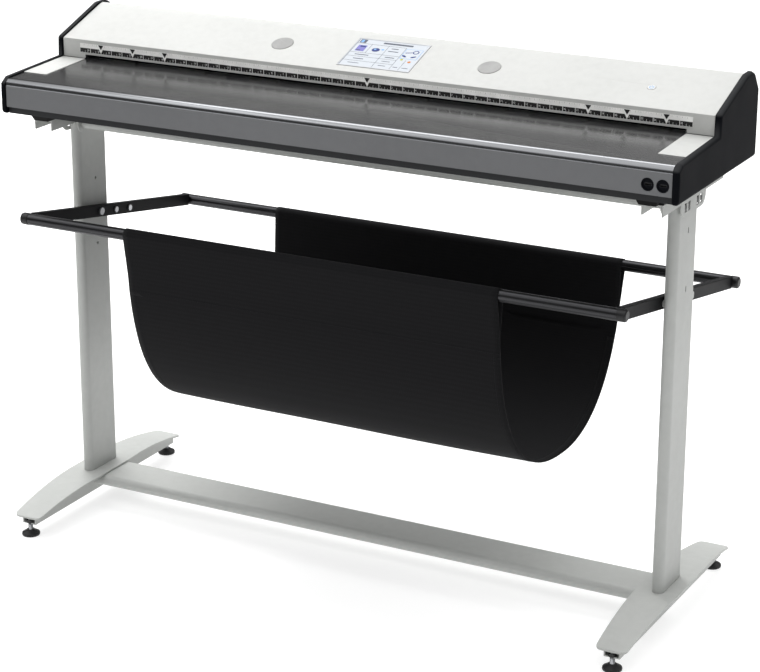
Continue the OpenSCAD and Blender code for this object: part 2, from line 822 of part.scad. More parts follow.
base_pan();
front_panel();
front_moulding();
feed_table();
exit_table();
table_panels();
side_covers();
rear_cover();
end_plates();
scan_glass();
scan_housing();
light_bars();
roller_bushes();
drive_motor();
drive_belt();
circuit_boards();
power_supply();
usb_sockets();
power_inlet();
hinge_posts();
front_drive_shaft();
front_drive_tyres();
rear_drive_shaft();
rear_drive_tyres();
motor_shaft();
top_cover();
ruler_strip();
size_arrows();
screen_frame();
touch_screen();
button_cups();
pressure_frame();
roller_hangers();
background_plate();
lid_knuckles();
release_button_left();
release_button_right();
power_button();
front_idler_shaft();
front_idler_tyres();
rear_idler_shaft();
rear_idler_tyres();
scanner_feet();
brackets();
stand_bolts();
uprights();
upper_beam();
crossbar();
foot_beams();
foot_plates();
levelling_foot_fl();
levelling_foot_fr();
levelling_foot_rl();
levelling_foot_rr();
basket_arms();
arm_caps();
arm_bolts();
basket_rails();
sling();
arm_plates();
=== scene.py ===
# %% [markdown]
# # A wide-format sheet scanner on its floor stand
# The machine is a shallow, wide scanner that takes a drawing in at the front, under a
# white hinged cover, and lets it fall into a black cloth basket. The frame made in CAD
# already holds every hard part at its true size. This lesson dresses it: it gives each
# part a finish, softens its edges, and makes the soft and fine pieces that CAD left plain.

import json
from math import cos, pi, radians, sin

import bmesh
import bpy
import numpy as np
from mathutils import Matrix, Vector
from mathutils.geometry import delaunay_2d_cdt

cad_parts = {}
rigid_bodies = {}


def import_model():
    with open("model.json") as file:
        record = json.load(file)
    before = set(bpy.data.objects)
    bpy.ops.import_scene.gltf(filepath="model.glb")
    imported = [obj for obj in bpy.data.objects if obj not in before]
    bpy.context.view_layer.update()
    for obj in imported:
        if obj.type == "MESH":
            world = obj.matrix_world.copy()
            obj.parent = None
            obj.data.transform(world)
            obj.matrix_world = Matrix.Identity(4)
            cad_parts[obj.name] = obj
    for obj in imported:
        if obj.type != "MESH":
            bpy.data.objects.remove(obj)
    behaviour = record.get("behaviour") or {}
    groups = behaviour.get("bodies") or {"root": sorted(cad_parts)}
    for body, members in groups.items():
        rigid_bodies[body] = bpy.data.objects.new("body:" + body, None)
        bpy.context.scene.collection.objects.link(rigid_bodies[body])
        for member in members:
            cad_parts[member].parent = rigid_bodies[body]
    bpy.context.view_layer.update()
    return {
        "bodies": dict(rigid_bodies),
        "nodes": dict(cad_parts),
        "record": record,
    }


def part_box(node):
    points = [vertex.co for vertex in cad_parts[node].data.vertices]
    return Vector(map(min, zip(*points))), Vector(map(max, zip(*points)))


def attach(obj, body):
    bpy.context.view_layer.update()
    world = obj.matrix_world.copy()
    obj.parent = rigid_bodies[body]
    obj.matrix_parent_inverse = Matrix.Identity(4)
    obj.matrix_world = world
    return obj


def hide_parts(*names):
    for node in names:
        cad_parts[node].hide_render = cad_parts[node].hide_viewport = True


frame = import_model()
mm = 0.001
print("bodies:", ", ".join(frame["bodies"]))

# %% [markdown]
# ## The camera
# A long lens from well above and to the right keeps the long machine from looking
# stretched. The camera is placed by its own position and three turns: first the tilt down,
# then the turn to the left, with a very small roll.

# %% Camera
scene = bpy.context.scene
camera_data = bpy.data.cameras.new("camera")
camera = bpy.data.objects.new("camera", camera_data)
scene.collection.objects.link(camera)
scene.camera = camera
camera_data.sensor_width = 36
camera_data.lens = 113.97
camera_data.clip_end = 50
camera_place = Vector((2.1254, -3.9990, 2.0057))
turn_left, tilt_down, roll = radians(27.9), radians(18.98), radians(0.14)
camera.matrix_world = (
    Matrix.Translation(camera_place)
    @ Matrix.Rotation(turn_left, 4, "Z")
    @ Matrix.Rotation(pi / 2 - tilt_down, 4, "X")
    @ Matrix.Rotation(roll, 4, "Z")
)

# %% [markdown]
# ## Light and floor
# The machine stands on a plain pale floor in soft studio light. The sky is a very large
# soft box: bright overhead, and dim near the horizon. A top-heavy light like this makes
# flat tops bright and upright faces darker, so the shapes read without hard shadows. A
# long lamp above and a little behind draws the bright line along the rounded front edge,
# and one at the high left adds a soft direction. A wide lamp low at the rear left reaches
# under the machine, to the tops of the crossbar and the feet; it is kept out of
# reflections, or the polished table would turn white. The floor gives some light of
# its own, which keeps the shadows pale, as on a lit table for product pictures.

# %% Light and floor
scene.view_settings.view_transform = "Standard"
world = bpy.data.worlds.new("studio")
scene.world = world
world.use_nodes = True
sky = world.node_tree.nodes
sky_links = world.node_tree.links
sky_way = sky.new("ShaderNodeTexCoord")
sky_split = sky.new("ShaderNodeSeparateXYZ")
sky_rise = sky.new("ShaderNodeMapRange")
sky_rise.interpolation_type = "SMOOTHSTEP"
dim_up_to, bright_from = 0.42, 0.78
dim, bright = 0.12, 1.75
for socket, value in (
    ("From Min", dim_up_to), ("From Max", bright_from), ("To Min", dim), ("To Max", bright)
):
    sky_rise.inputs[socket].default_value = value
sky_links.new(sky_way.outputs["Generated"], sky_split.inputs[0])
sky_links.new(sky_split.outputs["Z"], sky_rise.inputs["Value"])
sky_links.new(sky_rise.outputs[0], sky["Background"].inputs["Strength"])
sky["Background"].inputs["Color"].default_value = (1, 1, 1, 1)


def area_lamp(name, place, aim, width, height, watts):
    """A soft rectangular lamp at place, turned towards aim."""
    data = bpy.data.lights.new(name, "AREA")
    data.shape = "RECTANGLE"
    data.size, data.size_y = width, height
    data.energy = watts
    lamp = bpy.data.objects.new(name, data)
    lamp.location = place
    lamp.rotation_euler = (Vector(aim) - Vector(place)).to_track_quat("-Z", "Y").to_euler()
    scene.collection.objects.link(lamp)
    return lamp


area_lamp("high_left", (-2.4, -1.6, 3.4), (0, 0, 0.6), 2.0, 1.6, 10)
low_rear = area_lamp("low_rear_left", (-3.0, 2.6, 2.6), (-0.3, 0, 0.1), 3.0, 2.0, 180)
low_rear.visible_glossy = False
area_lamp("long_overhead", (-0.8, 1.0, 3.4), (-0.4, 0, 0.9), 3.2, 0.9, 30)

floor_mesh = bpy.data.meshes.new("floor")
reach = 20
floor_corners = [(-reach, -reach, 0), (reach, -reach, 0), (reach, reach, 0), (-reach, reach, 0)]
floor_mesh.from_pydata(floor_corners, [], [(0, 1, 2, 3)])
floor = bpy.data.objects.new("floor", floor_mesh)
scene.collection.objects.link(floor)

# %% [markdown]
# ## Writing shaders as sums
# A finish is a small graph of nodes. Wiring it by hand is slow to read, so a wire is
# wrapped in a class that knows plain arithmetic: `1 - mask * 0.3` adds its own nodes.

# %% Wires
class Wire:
    """One output of a shader node. Arithmetic on it adds Math nodes."""

    def __init__(self, finish, socket):
        self.finish, self.socket = finish, socket

    def _sum(self, operation, first, second):
        return self.finish.node(
            "ShaderNodeMath", {"operation": operation}, {0: first, 1: second}
        )

    def __add__(self, other):
        return self._sum("ADD", self, other)

    __radd__ = __add__

    def __mul__(self, other):
        return self._sum("MULTIPLY", self, other)

    __rmul__ = __mul__

    def __sub__(self, other):
        return self._sum("SUBTRACT", self, other)

    def __rsub__(self, other):
        return self._sum("SUBTRACT", other, self)

    def step(self, low, high):
        """0 below low and 1 above high, smooth between them."""
        return self.finish.node(
            "ShaderNodeMapRange",
            {"interpolation_type": "SMOOTHSTEP"},
            {"Value": self, "From Min": low, "From Max": high},
        )


# %% [markdown]
# ### Finishes
# A finish keeps its material and its nodes. Every other kind of node comes from `node`,
# and `surface` ends the graph.

# %% Finishes
class Finish:
    """A material and the nodes in it."""

    def __init__(self, name):
        self.material = bpy.data.materials.new(name)
        self.material.use_nodes = True
        self.nodes = self.material.node_tree.nodes
        self.nodes.clear()
        self.end = self.nodes.new("ShaderNodeOutputMaterial")
        self.place = self.node("ShaderNodeTexCoord", out="Object")

    def join(self, value, socket):
        """Links a wire to a socket, or sets the socket's own value."""
        if isinstance(value, Wire):
            self.material.node_tree.links.new(value.socket, socket)
        else:
            socket.default_value = value

    def node(self, kind, settings=None, sockets=None, out=0):
        made = self.nodes.new(kind)
        for name, value in (settings or {}).items():
            if name == "stops":
                ramp = made.color_ramp.elements
                while len(ramp) < len(value):
                    ramp.new(0.5)
                for element, (at, colour) in zip(ramp, value):
                    element.position, element.color = at, colour
            else:
                setattr(made, name, value)
        for name, value in (sockets or {}).items():
            self.join(value, made.inputs[name])
        return Wire(self, made.outputs[out])

    def stretched(self, x=1.0, y=1.0, z=1.0):
        """The object's own coordinates, scaled along each axis."""
        return self.node(
            "ShaderNodeMapping", None, {"Vector": self.place, "Scale": (x, y, z)}
        )

    def noise(self, scale, detail=3.0, rough=0.55, at=None):
        return self.node(
            "ShaderNodeTexNoise",
            None,
            {"Vector": at or self.place, "Scale": scale, "Detail": detail, "Roughness": rough},
        )

    def mix(self, amount, first, second):
        """A colour between two colours."""
        return self.node(
            "ShaderNodeMix",
            {"data_type": "RGBA"},
            {"Factor": amount, 6: first, 7: second},
            out=2,
        )

    def bump(self, height, depth):
        """A normal from a height map, with depth in metres."""
        return self.node(
            "ShaderNodeBump", None, {"Height": height, "Distance": depth, "Strength": 1.0}
        )

    def surface(self, **sockets):
        names = {key.replace("_", " ").title(): value for key, value in sockets.items()}
        names = {key.replace("Ior", "IOR"): value for key, value in names.items()}
        made = self.node("ShaderNodeBsdfPrincipled", None, names)
        self.material.node_tree.links.new(made.socket, self.end.inputs["Surface"])
        return self.material


# %% [markdown]
# ## Painted sheet steel
# The cover, the panels and the stand are powder coated. Such a coat isn't flat: it has a
# fine orange-peel skin about a millimetre across, and its gloss drifts a little from place
# to place. Both are made from noise in the object's own coordinates, so that no part needs
# unwrapping.

# %% Powder coat
def powder_coat(name, colour, gloss_low, gloss_high, peel_depth, sheen=0.5):
    """Paint with an orange-peel skin. colour is (red, green, blue)."""
    paint = Finish(name)
    peel = paint.noise(830.0, detail=2.0)
    drift = paint.noise(3.0, detail=2.0)
    dust = paint.noise(60.0, detail=4.0)
    shade = tuple(channel * 0.93 for channel in colour)
    base = paint.mix((drift * 0.5 + dust * 0.5).step(0.35, 0.7), (*colour, 1), (*shade, 1))
    return paint.surface(
        base_color=base,
        roughness=gloss_low + drift * (gloss_high - gloss_low),
        normal=paint.bump(peel, peel_depth),
        specular_ior_level=sheen,
    )


cover_white = powder_coat("cover_white", (0.545, 0.55, 0.535), 0.36, 0.5, 0.00002, 0.25)
stand_grey = powder_coat("stand_grey", (0.45, 0.46, 0.445), 0.36, 0.52, 0.00004, 0.4)
panel_grey = powder_coat("panel_grey", (0.134, 0.137, 0.143), 0.36, 0.5, 0.00002, 0.35)
chassis_black = powder_coat("chassis_black", (0.016, 0.017, 0.019), 0.45, 0.6, 0.00003, 0.25)
arm_black = powder_coat("arm_black", (0.007, 0.007, 0.008), 0.38, 0.52, 0.00002, 0.06)

floor_finish = Finish("floor_white")
floor_drift = floor_finish.noise(2.0, detail=2.0)
floor_white = floor_finish.surface(
    base_color=(0.5, 0.5, 0.5, 1),
    roughness=0.8 + floor_drift * 0.1,
    emission_color=(1, 1, 1, 1),
    emission_strength=0.62,
    specular_ior_level=0.0,
)
floor.data.materials.append(floor_white)
print("painted finishes:", len(bpy.data.materials))


# %% [markdown]
# ## Bare and anodised metal
# The rounded front edge is satin aluminium, the feed table is anodised dark, and the
# shafts and bolts are zinc plated. All show the fine lines of drawing or brushing. The
# lines are a noise that is stretched hundreds of times along one axis, and they feed
# both the gloss and a very shallow bump.

# %% Brushed metal
def brushed(name, colour, rough_low, rough_high, along="x", depth=0.000004):
    """Metal with fine lines along one axis."""
    metal = Finish(name)
    pull = {"x": (3, 900, 900), "y": (900, 3, 900), "z": (900, 900, 3)}[along]
    lines = metal.noise(1.0, detail=3.0, at=metal.stretched(*pull))
    drift = metal.noise(8.0, detail=2.0)
    dark = tuple(channel * 0.82 for channel in colour)
    return metal.surface(
        base_color=metal.mix(lines.step(0.3, 0.7), (*colour, 1), (*dark, 1)),
        metallic=1.0,
        roughness=rough_low + (lines * 0.6 + drift * 0.4) * (rough_high - rough_low),
        normal=metal.bump(lines, depth),
    )


moulding_metal = brushed("moulding_metal", (0.25, 0.255, 0.265), 0.14, 0.24)
table_metal = brushed("table_metal", (0.47, 0.47, 0.475), 0.17, 0.27)
plated_steel = brushed("plated_steel", (0.55, 0.56, 0.58), 0.25, 0.42)
dark_steel = brushed("dark_steel", (0.05, 0.05, 0.05), 0.35, 0.5)
rail_metal = brushed("rail_metal", (0.055, 0.055, 0.058), 0.22, 0.4)
bush_bronze = brushed("bush_bronze", (0.55, 0.38, 0.17), 0.3, 0.5)


# %% [markdown]
# ## Moulded plastic and rubber
# Moulded covers copy the texture of their tool: a fine, even grain. Rubber is duller, with
# a coarser and more broken grain. A cell pattern gives the moulded grain, and noise breaks
# it up.

# %% Plastic and rubber
def moulded(name, colour, rough, grain_size=0.0009, grain_depth=0.00003, sheen=0.5):
    """Textured plastic or rubber."""
    plastic = Finish(name)
    cells = {"Vector": plastic.place, "Scale": 1 / grain_size}
    grain = plastic.node("ShaderNodeTexVoronoi", None, cells)
    cloud = plastic.noise(25.0, detail=3.0)
    light = tuple(channel * 1.2 + 0.001 for channel in colour)
    return plastic.surface(
        base_color=plastic.mix(cloud.step(0.4, 0.75), (*colour, 1), (*light, 1)),
        roughness=rough + (cloud - 0.5) * 0.12,
        normal=plastic.bump(grain, grain_depth),
        specular_ior_level=sheen,
    )


case_black = moulded("case_black", (0.005, 0.0055, 0.0075), 0.5, sheen=0.03)
cap_black = moulded("cap_black", (0.008, 0.008, 0.009), 0.42, sheen=0.35)
rubber_black = moulded("rubber_black", (0.006, 0.006, 0.006), 0.75, 0.0016, 0.00006, 0.15)
rubber_grey = moulded("rubber_grey", (0.5, 0.5, 0.48), 0.65, 0.0012, 0.00005)
plastic_white = moulded("plastic_white", (0.56, 0.565, 0.56), 0.4, 0.0008, 0.00001, 0.3)
rule_white = moulded("rule_white", (0.82, 0.82, 0.80), 0.4, 0.0008, 0.00001, 0.3)
button_grey = moulded("button_grey", (0.29, 0.29, 0.285), 0.5, 0.0007, 0.00002, 0.3)
board_green = moulded("board_green", (0.015, 0.11, 0.045), 0.4)
bezel_grey = moulded("bezel_grey", (0.42, 0.43, 0.45), 0.4)
print_black = moulded("print_black", (0.012, 0.012, 0.012), 0.4, sheen=0.3)
print("finishes so far:", len(bpy.data.materials))

# %% [markdown]
# ## Glass and the lit screen
# The scanning glass is clear float glass. The touch screen gives its own light, so each
# patch of its picture has a faint emission under a glossy front.

# %% Glass and screen colours
glass = Finish("scan_glass")
smear = glass.noise(20.0, detail=3.0)
scan_glass = glass.surface(
    base_color=(0.85, 0.93, 0.92, 1), roughness=0.02 + smear * 0.05, alpha=0.45, ior=1.5
)


def lit(name, colour, strength=0.3):
    """A flat patch of the screen that gives light of its own."""
    glow = Finish(name)
    fleck = glow.noise(900.0, detail=1.0)
    shade = tuple(channel * 0.96 for channel in colour)
    picture = glow.mix(fleck, (*colour, 1), (*shade, 1))
    return glow.surface(
        base_color=picture,
        emission_color=picture,
        emission_strength=strength,
        roughness=0.16,
        specular_ior_level=0.3,
    )


screen_white = lit("screen_white", (0.49, 0.52, 0.56), 0.12)
screen_grey = lit("screen_grey", (0.08, 0.09, 0.12), 0.05)
screen_line = lit("screen_line", (0.07, 0.08, 0.10), 0.02)
screen_lavender = lit("screen_lavender", (0.16, 0.15, 0.42), 0.1)
screen_blue = lit("screen_blue", (0.012, 0.028, 0.16), 0.05)
screen_sky = lit("screen_sky", (0.16, 0.34, 0.60), 0.15)
screen_yellow = lit("screen_yellow", (0.40, 0.40, 0.04), 0.1)
screen_orange = lit("screen_orange", (0.50, 0.16, 0.03), 0.1)

# %% [markdown]
# ## Black sling cloth
# The basket is sewn from a close, plain polyester weave. Seen from a step away it is
# nearly flat black, and the weave only shows where light grazes it. Two wave patterns at
# right angles, about half a millimetre apart, make the threads; a slow noise makes the faint
# shading of cloth that has hung for a while.

# %% Cloth
def woven(name, colour, thread=0.0006, depth=0.00006):
    """A plain weave of threads this far apart, in metres."""
    weave = {"Scale": 0.05 / thread, "Distortion": 0.6, "Detail Scale": 30.0}
    cloth = Finish(name)
    across = cloth.node(
        "ShaderNodeTexWave",
        {"wave_type": "BANDS", "bands_direction": "X"},
        {"Vector": cloth.place, **weave},
        out=1,
    )
    down = cloth.node(
        "ShaderNodeTexWave",
        {"wave_type": "BANDS", "bands_direction": "DIAGONAL"},
        {"Vector": cloth.stretched(0, 1, 1), **weave},
        out=1,
    )
    threads = across * down
    wear = cloth.noise(6.0, detail=4.0)
    light = tuple(channel * 1.9 + 0.001 for channel in colour)
    return cloth.surface(
        base_color=cloth.mix(threads * 0.5 + wear * 0.5, (*colour, 1), (*light, 1)),
        roughness=0.78 + wear * 0.15,
        normal=cloth.bump(threads, depth),
        specular_ior_level=0.12,
        sheen_weight=0.03,
        sheen_roughness=0.5,
    )


sling_black = woven("sling_black", (0.0042, 0.0042, 0.0048))
thread_black = woven("thread_black", (0.010, 0.010, 0.011), 0.0003, 0.00002)

# %% [markdown]
# ## Dressing the frame
# Each part in the frame already names a material slot in the record. A table from slot to
# finish dresses all of them in one pass, and a part that has no finish stops the script.

# %% Dress the parts
finish_of_slot = {
    "white_paint": cover_white,
    "black_paint": chassis_black,
    "panel_grey": panel_grey,
    "bright_aluminium": moulding_metal,
    "table_metal": table_metal,
    "black_plastic": case_black,
    "white_plastic": plastic_white,
    "steel": plated_steel,
    "black_steel": dark_steel,
    "glass": scan_glass,
    "diffuser": plastic_white,
    "bronze": bush_bronze,
    "black_rubber": rubber_black,
    "white_rubber": rubber_grey,
    "board": board_green,
    "ruler": rule_white,
    "screen_frame": bezel_grey,
    "screen": screen_white,
    "button_grey": button_grey,
    "stand_paint": stand_grey,
    "foot_plastic": cap_black,
    "basket_black": arm_black,
    "rail_metal": rail_metal,
    "sling_fabric": sling_black,
}
slot_of = {part["node"]: part["material_slot"] for part in frame["record"]["subparts"]}
for name, node in frame["nodes"].items():
    node.data.materials.clear()
    node.data.materials.append(finish_of_slot[slot_of[name]])
print("dressed parts:", len(frame["nodes"]))

# %% [markdown]
# ## Softening the edges
# No pressed or moulded part has a knife edge. A small rounding on every sharp edge catches
# the light and makes a part look solid. A Bevel modifier does this without touching the
# mesh itself; a Weld modifier goes first, so that the bevel sees joined faces. Thick
# plastic gets the widest rounding and thin sheet the narrowest.

# %% Rounded edges
parts_by_rounding_mm = {
    0.3: "screen_frame",
    0.4: "front_moulding feed_table table_panels rear_cover arm_plates",
    0.5: "front_panel release_button_left release_button_right power_button foot_beams "
    "power_supply",
    0.6: "usb_sockets brackets stand_bolts arm_bolts",
    0.7: "top_cover",
    0.8: "power_inlet",
    1.0: "drive_motor",
    1.2: "foot_plates",
    2.0: "scanner_feet",
}
rounding_mm = {
    name: width for width, names in parts_by_rounding_mm.items() for name in names.split()
}
for name, width in rounding_mm.items():
    node = frame["nodes"][name]
    weld = node.modifiers.new("weld", "WELD")
    weld.merge_threshold = 0.00001
    bevel = node.modifiers.new("rounding", "BEVEL")
    bevel.width = width * mm
    bevel.segments = 3
    bevel.limit_method = "ANGLE"
    bevel.angle_limit = radians(35)
print("parts with rounded edges:", len(rounding_mm))

# %% [markdown]
# ## Building blocks for detail
# Two small helpers make most of the added pieces. `solid` turns a bmesh into an object
# with a finish and a body to ride. `add_plate` draws a flat outline and gives it
# thickness, which suits printed marks and screen patches. The others give outlines, and
# read where a part of the frame begins and ends.

# %% Helpers for pieces
def solid(name, mesh, finish, body, smooth=False):
    """An object from a bmesh, which is freed. smooth None keeps each face as it was."""
    data = bpy.data.meshes.new(name)
    bmesh.ops.recalc_face_normals(mesh, faces=mesh.faces)
    mesh.to_mesh(data)
    mesh.free()
    data.materials.append(finish)
    if smooth is not None:
        data.polygons.foreach_set("use_smooth", [smooth] * len(data.polygons))
    piece = bpy.data.objects.new(name, data)
    scene.collection.objects.link(piece)
    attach(piece, body)
    return piece


def join_rings(mesh, rings, smooth=False):
    """Faces between each closed ring of points and the next."""
    for one, two in zip(rings, rings[1:]):
        for i in range(len(one)):
            j = (i + 1) % len(one)
            mesh.faces.new((one[i], one[j], two[j], two[i])).smooth = smooth


def add_plate(mesh, outline, low, high, to_world):
    """A prism over an outline of (u, v) points, from height low to high."""
    base = [mesh.verts.new(to_world @ Vector((u, v, low))) for u, v in outline]
    top = [mesh.verts.new(to_world @ Vector((u, v, high))) for u, v in outline]
    mesh.faces.new(base[::-1])
    mesh.faces.new(top)
    join_rings(mesh, [base, top])


def rectangle(u0, u1, v0, v1):
    return [(u0, v0), (u1, v0), (u1, v1), (u0, v1)]


def disc(u, v, radius, count=32, squash=1.0, turn=0.0):
    """Points round an ellipse."""
    ring = []
    for i in range(count):
        a = 2 * pi * i / count
        x, y = radius * cos(a), radius * squash * sin(a)
        ring.append((u + x * cos(turn) - y * sin(turn), v + x * sin(turn) + y * cos(turn)))
    return ring


def low_corner(node):
    return Vector(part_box(node)[0])


def high_corner(node):
    return Vector(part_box(node)[1])


# %% [markdown]
# ## Side covers
# A moulded cover closes each end of the machine. It comes out of its tool with a soft,
# wide rounding on the outer edge, and it stands only a few millimetres proud of the panels
# beside it. Its outline is read from the frame's own part, so that it can be drawn again.

# %% The outline of a side cover
def outline_at(node, x):
    """The outer outline of the part's flat face at x, as (y, z) points in order."""
    data = frame["nodes"][node].data
    place = frame["nodes"][node].matrix_world
    points = [place @ v.co for v in data.vertices]
    flat = [f for f in data.polygons if all(abs(points[v].x - x) < 1e-5 for v in f.vertices)]
    key = {}
    for face in flat:
        for v in face.vertices:
            key[v] = (round(points[v].y, 6), round(points[v].z, 6))
    edges = []
    for face in flat:
        ring = [key[v] for v in face.vertices]
        edges += zip(ring, ring[1:] + ring[:1])
    # An edge that two faces share runs both ways. The outer ones run one way only.
    shared = set(edges)
    following = {a: b for a, b in edges if (b, a) not in shared}
    start_at = min(following)
    loop, here = [start_at], following[start_at]
    while here != start_at:
        loop.append(here)
        here = following[here]
    return loop


def signed_area(outline):
    """Positive for an outline that runs counter-clockwise."""
    turned = outline[1:] + outline[:1]
    return sum(a[0] * b[1] - b[0] * a[1] for a, b in zip(outline, turned)) / 2


def inset(outline, distance):
    """A closed outline, counter-clockwise, moved inwards by distance."""
    moved = []
    count = len(outline)
    for i in range(count):
        before, here, after = (Vector(outline[k % count]) for k in (i - 1, i, i + 1))
        one = (here - before).normalized()
        two = (after - here).normalized()
        one, two = Vector((-one.y, one.x)), Vector((-two.y, two.x))
        moved.append(here + (one + two) * distance / (1 + one.dot(two)))
    return moved


outer_x = high_corner("side_covers").x
cover_outline = outline_at("side_covers", outer_x)
if signed_area(cover_outline) < 0:
    cover_outline.reverse()
print("points in the cover's outline:", len(cover_outline))

# %% [markdown]
# ### Painted top light on black plastic
# Faces that look up get a painted highlight, standing in for the sky's light on the top
# edges: the upward part of each face's direction mixes a lighter shade into the plastic.

# %% Black plastic with painted top light
side_finish_painted_light = Finish("side_black")
facing = side_finish_painted_light.node("ShaderNodeNewGeometry", None, {}, out=1)
upward = side_finish_painted_light.node("ShaderNodeSeparateXYZ", None, {0: facing}, out=2)
grain = side_finish_painted_light.node("ShaderNodeTexVoronoi", None, {"Vector": side_finish_painted_light.place, "Scale": 1100.0})
patch_noise = side_finish_painted_light.noise(14.0, detail=4.0)
side_black = side_finish_painted_light.surface(
    # The lighter colour on faces that look up is a painted highlight, broken up by noise.
    base_color=side_finish_painted_light.mix(
        upward.step(0.05, 0.8) * (0.75 + patch_noise * 0.5),
        (0.004, 0.0045, 0.006, 1),
        (0.034, 0.035, 0.037, 1),
    ),
    roughness=0.46 + patch_noise * 0.12,
    normal=side_finish_painted_light.bump(grain, 0.00002),
    specular_ior_level=0.02,
)

# %% [markdown]
# ### A stack of rings
# The cover is a stack of rings. Each is inset a little further, along a quarter circle,
# which gives an even rounding at any corner. The flat ends are filled with triangles that
# follow the outline, because one many-sided face would fill its hollow side wrongly.

# %% Rounded side covers
covers = bmesh.new()
cover_thick = 0.0123
outer_r, outer_steps = 6.5 * mm, 7
inner_r, inner_steps = 2.0 * mm, 3
section = []
for k in range(outer_steps + 1):
    t = pi / 2 * k / outer_steps
    section.append((outer_x - outer_r * (1 - cos(t)), outer_r * (1 - sin(t))))
for k in range(inner_steps + 1):
    t = pi / 2 * k / inner_steps
    section.append((outer_x - cover_thick + inner_r * (1 - sin(t)), inner_r * (1 - cos(t))))
for side in (-1, 1):
    rings = [
        [covers.verts.new((side * x, point.x, point.y)) for point in inset(cover_outline, d)]
        for x, d in section
    ]
    for x, d in (section[0], section[-1]):
        flat = [tuple(point) for point in inset(cover_outline, d)]
        points, _, triangles, *_ = delaunay_2d_cdt(flat, [], [range(len(flat))], 1, 1e-7)
        corners = [covers.verts.new((side * x, y, z)) for y, z in points]
        for triangle in triangles:
            covers.faces.new([corners[i] for i in triangle])
    join_rings(covers, rings, smooth=True)
bmesh.ops.remove_doubles(covers, verts=covers.verts, dist=1e-6)
side_covers = solid(
    "side_covers_rounded", covers, side_black, "scanner_and_stand", None
)
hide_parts("side_covers")
print("rings in each cover:", len(section))

# %% [markdown]
# ## The rule on the lip
# A printed rule runs along the lip of the cover, to centre the paper. Its upper half is
# white with fine centimetre marks and its lower half is black with white inch marks, both
# counted from the middle. The marks are real, paper-thin plates laid over a white strip:
# printed marks have no relief to speak of, but geometry keeps them crisp at any size.

# %% Rule strip
rule_low, rule_high = low_corner("ruler_strip"), high_corner("ruler_strip")
half_rule = rule_high.x
middle_z = (rule_low.z + rule_high.z) / 2
# On the rule u is along X, v is along Z and height comes out towards the front.
rule_frame = Matrix(((1, 0, 0, 0), (0, 0, -1, rule_low.y), (0, 1, 0, 0), (0, 0, 0, 1)))
strip = bmesh.new()
strip_outline = rectangle(-half_rule, half_rule, rule_low.z, rule_high.z)
add_plate(strip, strip_outline, rule_low.y - rule_high.y, 0, rule_frame)
rule_strip = solid("rule_strip", strip, rule_white, "top_cover")
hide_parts("ruler_strip")

# %% [markdown]
# ### Centimetre marks
# Every fifth centimetre has a taller mark, and a short one stands at each half. The black
# band for the inches goes below them.

# %% Centimetre marks
marks = bmesh.new()
last_mark, ink = 65, 0.03 * mm
top = rule_high.z - 0.8 * mm
for count in range(-last_mark, last_mark + 1):
    tall = 3.6 if count % 5 == 0 else 2.4
    x = count * 0.01
    mark = rectangle(x - 0.15 * mm, x + 0.15 * mm, top - tall * mm, top)
    add_plate(marks, mark, 0, ink, rule_frame)
    if count < last_mark:
        x += 0.005
        mark = rectangle(x - 0.1 * mm, x + 0.1 * mm, top - 1.4 * mm, top)
        add_plate(marks, mark, 0, ink, rule_frame)
edge_side, edge_low = 0.3 * mm, 0.4 * mm
band_half = half_rule - edge_side
band_outline = rectangle(-band_half, band_half, rule_low.z + edge_low, middle_z)
add_plate(marks, band_outline, 0, 0.04 * mm, rule_frame)
solid("rule_marks", marks, print_black, "top_cover")
print("rule length in metres:", round(2 * half_rule, 3))

# %% [markdown]
# ## Inch marks, numbers and pointers
# On the black half, long white bars stand at whole inches and shorter ones between them,
# with the inch number beside each bar. Numbers come from Blender's own text object, turned
# into a mesh. Black pointers mark the middle and the edges of the common sheet widths, and
# below each a white wedge cuts into the black band.

# %% White marks on the black half
inch = 0.0254
pointers = bmesh.new()
whites = bmesh.new()
pointer_top = high_corner("size_arrows").z
band = middle_z - rule_low.z
pointer_x = [0.0] + [side * width / 2 * inch for width in (36, 42, 48) for side in (-1, 1)]
for x in pointer_x:
    outline = [(x, middle_z - 0.4 * mm), (x + 6 * mm, pointer_top), (x - 6 * mm, pointer_top)]
    add_plate(pointers, outline, 0.05 * mm, 0.4 * mm, rule_frame)
    wedge = [(x, rule_low.z + 0.8 * mm), (x + 4.4 * mm, middle_z), (x - 4.4 * mm, middle_z)]
    add_plate(whites, wedge, 0.04 * mm, 0.07 * mm, rule_frame)
width_pointers = solid("width_pointers", pointers, print_black, "top_cover")
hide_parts("size_arrows")

# The share of the band's height and the half width in mm: whole, half and quarter inch.
whole, half, quarter_mark = (1.0, 0.5), (0.5, 0.25), (0.25, 0.2)
foot_z = rule_low.z + edge_low
for quarter in range(-103, 104):
    x = quarter * inch / 4
    share, half_width = {0: whole, 2: half}.get(quarter % 4, quarter_mark)
    bar_top = foot_z + share * (band - edge_low)
    mark = rectangle(x - half_width * mm, x + half_width * mm, foot_z, bar_top)
    add_plate(whites, mark, 0.04 * mm, 0.06 * mm, rule_frame)


def add_number(mesh, value, u, v, height, lift):
    """The digits of value, starting at (u, v), as a flat mesh."""
    text = bpy.data.curves.new("number", "FONT")
    text.body = str(value)
    text.size = height
    holder = bpy.data.objects.new("number", text)
    scene.collection.objects.link(holder)
    flat = bpy.data.meshes.new_from_object(
        holder.evaluated_get(bpy.context.evaluated_depsgraph_get())
    )
    flat.transform(rule_frame @ Matrix.Translation((u, v, lift)))
    mesh.from_mesh(flat)
    bpy.data.objects.remove(holder)
    bpy.data.curves.remove(text)
    bpy.data.meshes.remove(flat)


bpy.context.view_layer.update()
for number in range(1, 26):
    for side in (-1, 1):
        u = side * number * inch + (1.4 if side > 0 else -8.0) * mm
        add_number(whites, number, u, rule_low.z + 3.4 * mm, 5.0 * mm, 0.06 * mm)
rule_whites = solid("rule_inches", whites, rule_white, "top_cover")
print("faces in the white marks:", len(rule_whites.data.polygons))

